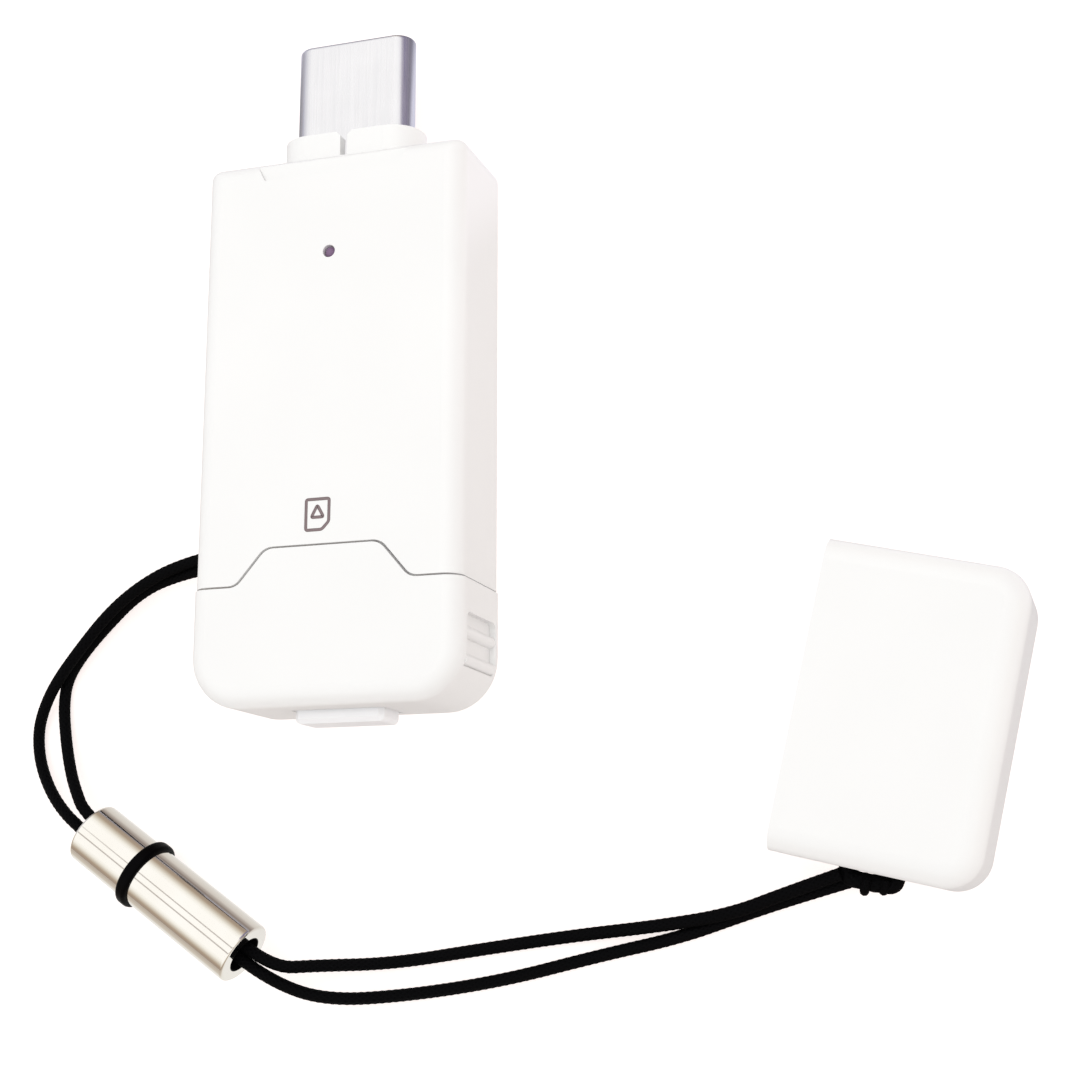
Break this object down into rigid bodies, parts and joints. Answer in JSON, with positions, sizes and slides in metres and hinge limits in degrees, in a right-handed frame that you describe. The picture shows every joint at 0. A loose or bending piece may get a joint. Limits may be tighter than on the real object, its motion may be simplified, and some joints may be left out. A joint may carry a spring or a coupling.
{
  "type": "smart card reader",
  "caption": "Stick-shaped reader for small chip cards with a computer plug, a pull-off lid over the card mouth, and a plug cap held by a strap with a metal barrel.",
  "frame": {"origin": "middle of the reader's back face, halfway between the lid's end and the shoulder under the plug's collar", "axes": "+X across the reader to its right, +Y along it towards the plug, +Z out of its front; it lies on its back"},
  "size_m": [0.0666, 0.0631, 0.0075],
  "materials": {
    "white_plastic": "fine satin moulded plastic",
    "frosted_plastic": "frosted natural plastic",
    "plug_steel": "plain drawn steel",
    "black_plastic": "moulded plastic",
    "gold": "gold plated",
    "board": "solder mask",
    "metal_can": "plain metal can",
    "ceramic": "ceramic with tinned ends",
    "smoked_plastic": "smoked clear plastic",
    "polished_steel": "polished, warm silver",
    "black_rubber": "soft rubber",
    "strap": "braided cord"
  },
  "bodies": {
    "reader": {"front_shell": "white_plastic", "back_shell": "white_plastic", "cap": "white_plastic", "card_guide": "frosted_plastic", "usb_shell": "plug_steel", "usb_latches": "plug_steel", "card_switch": "plug_steel", "usb_core": "black_plastic", "card_connector": "black_plastic", "reader_chip": "black_plastic", "regulator": "black_plastic", "usb_contacts": "gold", "card_contacts": "gold", "circuit_board": "board", "crystal": "metal_can", "capacitors": "ceramic", "resistors": "ceramic", "status_led": "ceramic", "light_pipe": "smoked_plastic", "barrel": "polished_steel", "barrel_ring": "black_rubber", "strap_outer_strand": "strap", "strap_inner_strand": "strap", "cap_hitch": "strap"},
    "lid": {"lid": "white_plastic"}
  },
  "joints": [
    {"name": "lid_slide", "type": "slide", "parent": "reader", "child": "lid", "axis": [0, -1, 0], "range_m": [0, 0.0112]}
  ]
}
